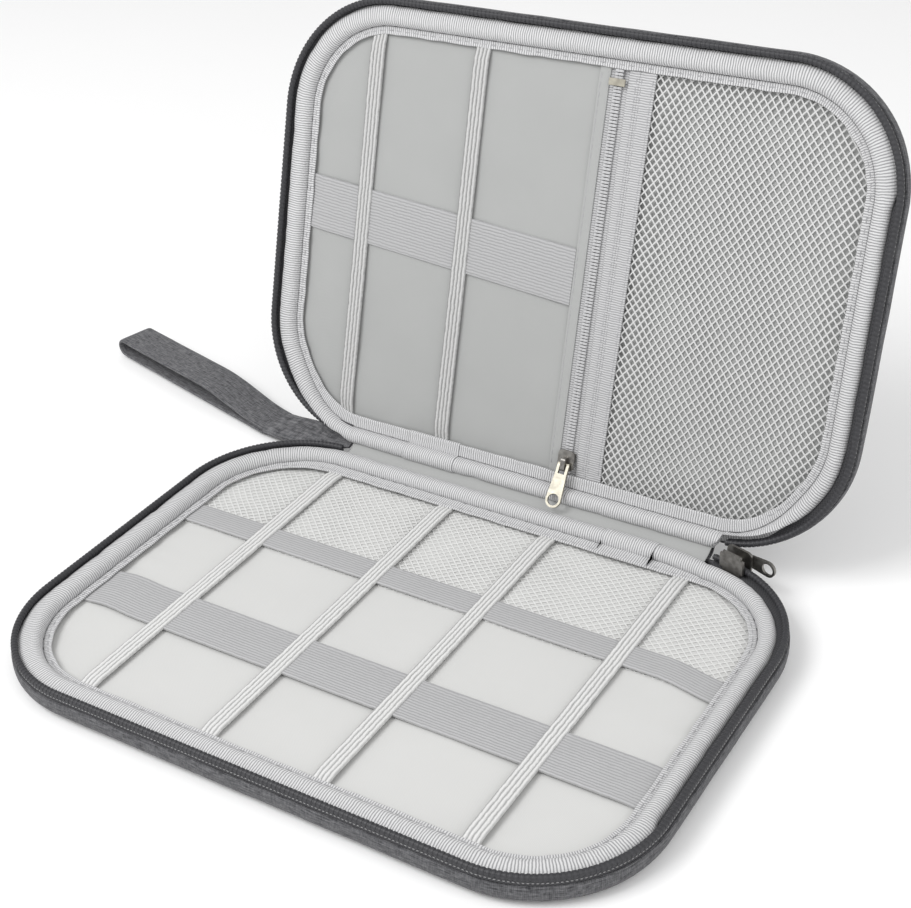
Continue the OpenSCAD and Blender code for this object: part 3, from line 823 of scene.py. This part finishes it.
def buildNet(name, x0, x1, y0, y1, inset, cell, strand, height, thick, place, body, node, material):
    a, b = cell[0] / 2, cell[1] / 2
    across, deep = x1 - x0, y1 - y0
    n = int(across / cell[0] + deep / cell[1]) + 2
    deselectAll()
    bpy.ops.mesh.primitive_grid_add(x_subdivisions=n, y_subdivisions=n, size=0.001 * n)
    net = bpy.context.active_object
    mesh = net.data
    co = np.array([v.co for v in mesh.vertices]) * 1000
    x = (x0 + x1) / 2 + (co[:, 0] + co[:, 1]) * a
    y = (y0 + y1) / 2 + (co[:, 0] - co[:, 1]) * b
    warp = 0.25 * drift(x, y, 8, 23)
    x, y = x + warp, y + 0.25 * drift(y, x, 5, 19)
    z = height(x, y)
    mesh.vertices.foreach_set("co", (np.stack([x, y, z], -1) * 0.001).astype(np.float32).ravel())
    mesh.update()
    centres = np.array([p.center for p in mesh.polygons]) * 1000
    keep = ((lidInset if place is asLid else insetAt)(centres[:, 0], centres[:, 1]) > inset) & (centres[:,
        0] > x0) & (centres[:, 0] < x1)
    keep &= (centres[:, 1] > y0) & (centres[:, 1] < y1)
    bpy.ops.object.mode_set(mode="EDIT")
    bpy.ops.mesh.select_all(action="DESELECT")
    bpy.ops.object.mode_set(mode="OBJECT")
    mesh.polygons.foreach_set("select", ~keep)
    bpy.ops.object.mode_set(mode="EDIT")
    bpy.ops.mesh.select_mode(type="FACE")
    bpy.ops.mesh.delete(type="FACE")
    bpy.ops.mesh.select_all(action="SELECT")
    bpy.ops.mesh.inset(thickness=strand * 0.0005, use_individual=True)
    bpy.ops.mesh.delete(type="FACE")
    bpy.ops.object.mode_set(mode="OBJECT")
    mesh = net.data
    co = np.array([v.co for v in mesh.vertices]) * 1000
    layer = mesh.uv_layers.get("cloth") or mesh.uv_layers.new(name="cloth")
    loops = np.zeros(len(mesh.loops), np.int32)
    mesh.loops.foreach_get("vertex_index", loops)
    layer.data.foreach_set("uv", co[loops][:, :2].astype(np.float32).ravel())
    mesh.vertices.foreach_set("co", (place(co) * 0.001).astype(np.float32).ravel())
    mesh.update()
    solid = net.modifiers.new("thickness", "SOLIDIFY")
    solid.thickness = thick * 0.001
    solid.offset = 0
    bpy.context.view_layer.objects.active = net
    bpy.ops.object.modifier_apply(modifier=solid.name)
    net.name = mesh.name = name
    net.data.materials.clear()
    net.data.materials.append(material)
    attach(net, body)
    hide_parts(node)
    return net


def trayNetHeight(x, y):
    return baseFloor(x, y) + 0.2 + 0.06 * drift(x, y, 6, 29) * smooth(11, 18, insetAt(x, y))


buildNet("trayNetPocket", -109.4, 109.4, mouth["y"] + 0.8, 80, 10.7, (3.1, 2.8), 0.5, trayNetHeight, 0.22,
         asBase, "base",
         "base_mesh_pocket", fineThread)


# lid fittings: v runs from the spine, so y in the lid's tray is v - hingeY

def lidLevel(x, y):
    # upper face of the pocket panels: low under the flange, fuller in the middle
    depth = lidInset(x, y)
    return 5.75 + 0.72 * smooth(11, 21, depth) + gather(x, y, depth, 0.3, 7, 2) * smooth(10, 13, depth)


def lidBack(x, y):
    behindNet = smooth(32, 42, x) * smooth(13, 24, lidInset(x, y))
    return 4.75 + 0.9 * behindNet + 0.06 * drift(x, y, 31, 50)


liningLid, flat, area = fitted("lidLiningSheet", -110, 110, -80, 80, 9.5, lidBack, 0.7, (3, 3), asLid)
finishSheet(liningLid, "lid", backLining, ["lid_lining"])

pocket = {"x": 15.0, "tape": 6.2, "slot": 0.8}


def panelHeight(x, y):
    return lidLevel(x, y) + 0.38 * drift(x, y, 17, 48) * smooth(14, 30, lidInset(x, y))


panel, flat, area = fitted("lidPocketPanel", -110, pocket["x"] - pocket["tape"] - 0.02, -80, 80, 10.6,
                           panelHeight, 0.45, (2.2, 2.2), asLid)
finishSheet(panel, "lid", coolLining, ["lid_pocket_panel"])

buildNet("lidNetPocket", pocket["x"] + pocket["tape"] + 0.6, 109.4, -77.8, 73.4, 10.7, (2.75, 3.5), 0.48,
         lambda x, y: lidLevel(x, y) - 0.25 + 0.12 * drift(x, y, 23, 26), 0.3, asLid, "lid",
         "lid_mesh_panel", netThread)


def strip(name, x0, x1, over, thick, body, node, material, inset=10.6, ridges=None,
          step=(0.5, 1.6)):
    def height(x, y):
        extra = bandGrooves(x - x0, ridges[0], ridges[1]) if ridges else 0
        return lidLevel(x, y) + over + extra + 0.05 * drift(y, x, len(name), 21)
    n = max(4, round((x1 - x0) / step[0]))
    obj, flat, area = fitted(name, x0, x1, -80, 80, inset, height, thick, step, asLid,
                             xs=np.linspace(x0, x1, n + 1))
    return finishSheet(obj, body, material, [node] if node else [])


strip("pocketTapeLeft", pocket["x"] - pocket["tape"], pocket["x"] - pocket["slot"], 0.1, 0.45, "lid",
      "pocket_tape_left", ribbonSide)
strip("pocketTapeRight", pocket["x"] + pocket["slot"], pocket["x"] + pocket["tape"], 0.1, 0.45, "lid",
      "pocket_tape_right", ribbonSide)
strip("pocketFlap", pocket["x"] - 7.5, pocket["x"] - 3.5, 0.75, 0.5, "lid", "pocket_flap", coolLining,
      11.2)
strip("pocketRibbonInner", pocket["x"] + 3.6, pocket["x"] + 7.5, 0.8, 0.6, "lid", "pocket_ribbon_inner",
      ribbonSide, 11.2)
strip("pocketRibbonOuter", pocket["x"] + 7.6, pocket["x"] + 13.6, 0.85, 0.6, "lid", "pocket_ribbon_outer",
      ribbonSide, 11.2)


def stampLine(name, shape, x, ys, level, body, material, replaced=None, lean=0.0):
    pts, faces = shape
    n, allFaces, out = len(pts), [], []
    for i, y in enumerate(ys):
        z = float(level(np.array(x), np.array(y)))
        out.append(np.stack([x + pts[:, 1], y + pts[:, 0] + lean * pts[:, 2], pts[:, 2] + z], -1))
        allFaces += [[i * n + k for k in f] for f in faces]
    obj = makeMesh(name, asLid(np.vstack(out)), allFaces, [[(0, 0)] * len(f) for f in allFaces], 60)
    obj.data.materials.append(material)
    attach(obj, body)
    if replaced:
        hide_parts(replaced)
    return obj


def ribbonSeam(name, x, over):
    ys = np.arange(-71, 68, 3.0)
    stampLine(name, shapes["stitch"], x, ys, lambda px, py: lidLevel(px, py) + over, "lid", greyThread)


ribbonSeam("ribbonStitchInner", pocket["x"] + 6.6, 0.8)
ribbonSeam("ribbonStitchLeft", pocket["x"] + 8.5, 0.85)
ribbonSeam("ribbonStitchRight", pocket["x"] + 12.7, 0.85)
ribbonSeam("flapStitch", pocket["x"] - 6.7, 0.75)

for side, sign in (("left", -1), ("right", 1)):
    tooth = (shapes["tooth"][0] * np.array([0.85, 0.78, 0.52]), shapes["tooth"][1])
    stampLine(f"pocketTeeth_{side}", tooth, pocket["x"] + sign * 0.72, np.arange(-74, 70, 1.15), lambda px,
              py: 7.2 + 0 * px,
              "lid", paleNylon, f"pocket_coil_{side}", 0.15)

cross = {"v": 81.8, "w": 20.5, "tilt": 4.0}


def crossMid(x):
    return cross["v"] - hingeY - x * math.tan(math.radians(cross["tilt"]))


def crossHeight(x, y):
    ridge = bandGrooves(y - crossMid(x), 1.14, 0.12)
    tuckedIn = 0.25 * (1 - smooth(11, 16, lidInset(x, y)))
    return lidLevel(x, y) + 0.85 + ridge + 0.06 * drift(x, 0 * y, 41, 50) - tuckedIn


crossBand, flat, area = fitted("lidCrossElastic", -110, 7.4, lambda x: crossMid(x) - cross["w"] / 2,
                               lambda x: crossMid(x) + cross["w"] / 2,
                               10.8, crossHeight, 0.6, (2.4, 0.38), asLid)
finishSheet(crossBand, "lid", bandCloth, ["lid_wide_elastic"])

for i, (x, node) in enumerate([(-82.7, "lid_strap_left"), (-38.9, "lid_strap_right")]):
    buildBraid(f"lidStrap{i + 1}", x, 3.0, 8.4, 0.6, 11.3, "lid", node, asLid, lidBraid, 0.95, 30 + i,
               height=lambda px, py: lidLevel(px, py) + 1.9)
print("lid fittings made")


# spine: outer fabric and inner lining, built as fixed arcs round the hinge

def spineArc(name, y, z, r, thick, a0, a1, half, material, node, seed):
    xs = np.linspace(-half, half, 62)
    angles = np.radians(np.linspace(a0, a1, 22))
    x, a = np.meshgrid(xs, angles, indexing="ij")
    give = 0.14 * drift(x, a * 4, seed, 27) * np.sin((a - angles[0]) / (angles[-1] - angles[0]) * math.pi)
    rows = [np.stack([x, y + (r + k * thick / 2 + give) * np.cos(a),
                      z + (r + k * thick / 2 + give) * np.sin(a)], -1) for k in (1, -1)]
    piece = tube(name, np.concatenate([rows[0], rows[1][:, ::-1]], 1), False, True)
    piece.data.materials.append(material)
    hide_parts(node)
    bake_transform(piece)


spineArc("spineFabric", 85.6, 10.9, 3.8, 0.85, 241, 368, 75.5, melange, "spine_cover",
         51)
spineArc("spineLiningStrip", 79.4, 20.6, 12.2, 0.55, 272, 335, 75.5, coolLining, "spine_lining",
         52)


# wrist strap: webbing folded to a loop and sewn at the spine's left end

strap = {"yaw": 15.0, "w": 16.0, "t": 1.5, "long": 104.0, "gap": 5.0, "joinX": -121.0, "joinY": 96.2}
yaw = math.radians(strap["yaw"])


def webSection(w, t):
    a = np.linspace(0, 2 * math.pi, 29)[:-1]
    p = 0.22
    cx = np.sign(np.cos(a)) * np.abs(np.cos(a)) ** p * w / 2
    cz = np.sign(np.sin(a)) * np.abs(np.sin(a)) ** 0.6 * t / 2
    return cx, cz


def buildLoop():
    t, bend = strap["t"], strap["gap"] / 2 + strap["t"]
    far = strap["long"] - bend
    low = [(s, 0.55 + t / 2) for s in np.linspace(0.5, far, 44)]
    turn = [(far + (bend - t / 2) * math.sin(a),
             0.5 + bend - (bend - t / 2) * math.cos(a)) for a in np.linspace(0.15, math.pi - 0.15, 13)]
    high = []
    for s in np.linspace(far, 0.5, 52):
        lift = smooth(2, 44, np.array(s))
        wave = 0.35 * math.sin(s / 19.0)
        high.append((s, 0.5 + 1.5 * t + 0.12 + float(lift) * (strap["gap"] + wave * 0.5)))
    line = np.array(low + turn + high)
    tangent = np.gradient(line, axis=0)
    tangent /= np.linalg.norm(tangent, axis=1)[:, None]
    normal = np.stack([-tangent[:, 1], tangent[:, 0]], -1)
    cx, cz = webSection(strap["w"], t)
    s = line[:, 0][:, None] + normal[:, 0][:, None] * cz
    z = line[:, 1][:, None] + normal[:, 1][:, None] * cz
    across = np.broadcast_to(cx, s.shape) * (1 + 0.012 * drift(s, 0 * s, 61, 33))
    x = strap["joinX"] - s * math.cos(yaw) + across * math.sin(yaw)
    y = strap["joinY"] + s * math.sin(yaw) + across * math.cos(yaw)
    loop = tube("wristLoop", np.stack([x, y, z], -1), False, True)
    finishSheet(loop, "wrist_strap", strapWeb, ["wrist_strap_loop"])


def buildTail():
    keys = np.array([(-76.4, 86.3, 10.6, 30, 4.2, 1.1), (-88, 87.8, 8.0, 28, 8, 2.2),
                     (-103, 92, 5.4, 12, 14.6, 2.9),
                     (-114, 94.6, 3.2, 3, 15.8, 3.1), (-121.6, 96.35, 2.12, 0, 16, 3.15)])
    at = np.linspace(0, 4, 34)
    cols = [np.interp(at, range(5), keys[:, i]) for i in range(6)]
    kernel = np.array([0.25, 0.5, 0.25])
    for _ in range(3):
        cols = [np.concatenate([c[:1], np.convolve(c, kernel, "valid"), c[-1:]]) for c in cols]
    rows = []
    for px, py, pz, tilt, w, t in zip(*cols):
        cx, cz = webSection(w, t)
        tilt = math.radians(tilt)
        ly, lz = cx * math.cos(tilt) - cz * math.sin(tilt), cx * math.sin(tilt) + cz * math.cos(tilt)
        groove = np.where(abs(cz) < 0.3 * t, -0.25 * np.sign(cx), 0)
        rows.append(np.stack([px + (ly + groove) * math.sin(yaw), py + (ly + groove) * math.cos(yaw),
                              pz + lz], -1))
    tail = tube("wristTail", np.array(rows), False, True)
    tail.data.materials.append(strapWeb)
    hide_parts("wrist_strap_tail")
    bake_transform(tail)


buildLoop()
buildTail()
print("spine and wrist strap made")


# metal and foam carried over from CAD

def dress(node, material, bevel=0.0):
    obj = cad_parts[node]
    obj.data.materials.clear()
    obj.data.materials.append(material)
    if bevel:
        mod = obj.modifiers.new("edge", "BEVEL")
        mod.width = bevel * 0.001
        mod.segments = 2
        mod.limit_method = "ANGLE"
        mod.angle_limit = math.radians(40)


for node in ("main_slider", "main_pull", "pocket_slider"):
    dress(node, darkMetal, 0.12)
for node in ("pocket_pull", "pocket_stop"):
    dress(node, brightMetal, 0.12)
for node in ("base_foam_board", "lid_foam_board"):
    dress(node, foamBoard)
print("metal dressed")


# floor, light and camera

def buildStudio():
    deselectAll()
    bpy.ops.mesh.primitive_plane_add(size=6, location=(0, 0, -0.0004))
    floor = bpy.context.active_object
    bpy.ops.object.transform_apply(location=True, rotation=True, scale=True)
    floor.name = "floor"
    material, tree, shader = startMaterial("paleFloor", 0.6)
    vector = objectVector(tree, 10.0)
    tree.links.new(mixColour(tree, noiseNode(tree, vector, 0.4), (0.93, 0.93, 0.93, 1),
                             (0.96, 0.96, 0.96, 1)), shader.inputs["Base Color"])
    floor.data.materials.append(material)
    world = bpy.data.worlds.new("studio")
    world.use_nodes = True
    world.node_tree.nodes["Background"].inputs["Color"].default_value = (1, 1, 1, 1)
    world.node_tree.nodes["Background"].inputs["Strength"].default_value = 0.72
    bpy.context.scene.world = world
    bpy.context.scene.view_settings.view_transform = "Standard"
    for name, place, size, power in (("keyLight", (-0.5, -0.7, 1.1), 0.7, 11),
                                     ("fillLight", (0.9, -0.3, 0.8), 1.0, 4)):
        light = bpy.data.lights.new(name, "AREA")
        light.size, light.energy = size, power
        lamp = bpy.data.objects.new(name, light)
        bpy.context.scene.collection.objects.link(lamp)
        lamp.location = place
        lamp.rotation_mode = "QUATERNION"
        lamp.rotation_quaternion = (Vector((0, 0.05, 0.03)) - Vector(place)).to_track_quat("-Z", "Y")


def buildCamera():
    az, el, roll = (math.radians(v) for v in (33.06, 32.15, -3.21))
    right = Vector((math.cos(az), math.sin(az), 0))
    back = Vector((math.sin(az) * math.cos(el), -math.cos(az) * math.cos(el), math.sin(el)))
    up = back.cross(right)
    side = math.cos(roll) * right + math.sin(roll) * up
    top = -math.sin(roll) * right + math.cos(roll) * up
    data = bpy.data.cameras.new("view")
    data.lens, data.sensor_width = 65.52, 36.0
    data.clip_start, data.clip_end = 0.01, 20
    camera = bpy.data.objects.new("view", data)
    bpy.context.scene.collection.objects.link(camera)
    camera.matrix_world = Matrix(((side.x, top.x, back.x, 0.2585), (side.y, top.y, back.y, -0.3547),
                                  (side.z, top.z, back.z, 0.3503), (0, 0, 0, 1)))
    bpy.context.scene.camera = camera


buildStudio()
buildCamera()
print("studio ready")
